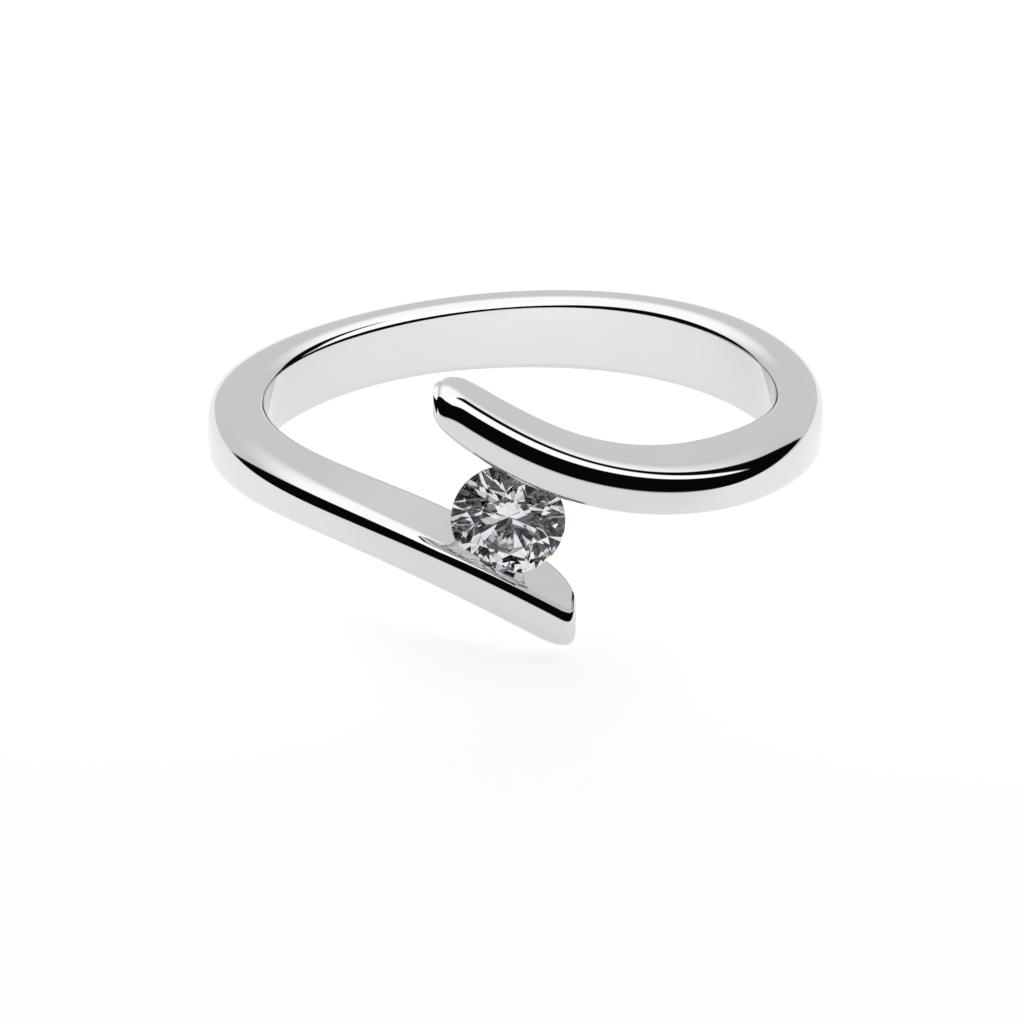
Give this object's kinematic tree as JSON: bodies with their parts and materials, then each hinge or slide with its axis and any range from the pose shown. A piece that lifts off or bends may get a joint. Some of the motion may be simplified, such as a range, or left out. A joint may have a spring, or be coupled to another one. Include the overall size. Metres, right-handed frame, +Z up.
{
  "type": "diamond ring",
  "caption": "Finger ring whose polished white metal band sweeps into arms that pass each other and hold a round cut stone by its rim between them.",
  "frame": {"origin": "on the surface that the ring lies on, below the middle of its outline", "axes": "+Z up from that surface, -Y towards the stone, +X towards the side of the lower arm's end; the ring lies on its side and leans back 9.5 degrees on its lower arm's end"},
  "size_m": [0.0206, 0.023, 0.0087],
  "materials": {
    "white_gold": "white gold, polished to a mirror",
    "diamond": "clear, colourless, with flat polished facets"
  },
  "bodies": {
    "root": {"band": "white_gold", "diamond": "diamond"}
  },
  "joints": []
}
